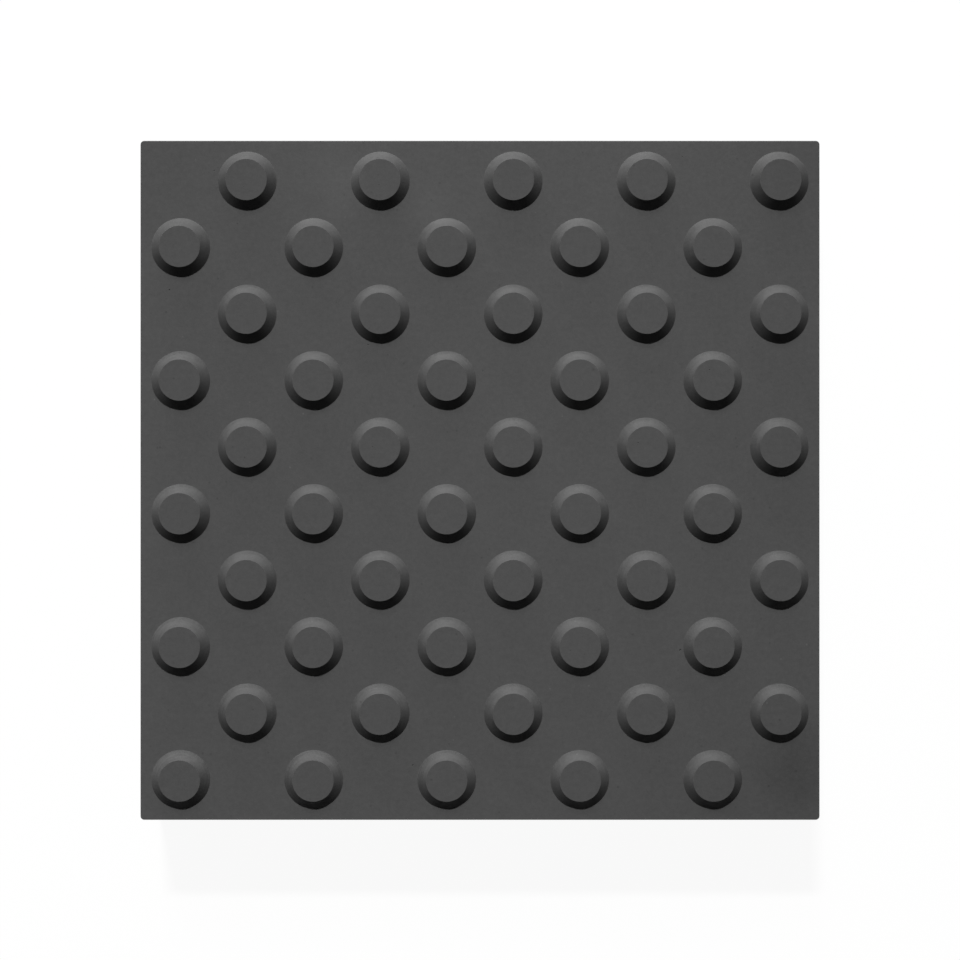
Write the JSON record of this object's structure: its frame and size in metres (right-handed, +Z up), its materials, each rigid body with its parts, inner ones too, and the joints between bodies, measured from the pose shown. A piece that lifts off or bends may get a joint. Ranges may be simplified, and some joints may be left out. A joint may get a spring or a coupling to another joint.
{
  "type": "tactile paving slab",
  "caption": "Square dark grey concrete paving slab with flat-topped conical warning studs in staggered rows on its walking face, laid flat so that feet and canes feel the surface change.",
  "frame": {"origin": "middle of the flat underside", "axes": "+Z up through the studded walking face; +X and +Y along the slab's sides, with a stud in the corner at -X -Y and in the corner at +X +Y"},
  "size_m": [0.4, 0.4, 0.055],
  "materials": {
    "charcoal_concrete": "smooth cast concrete, dark grey through, satin to matt, with fine pores and faint clouding"
  },
  "bodies": {
    "root": {"tactile_slab": "charcoal_concrete"}
  },
  "joints": []
}
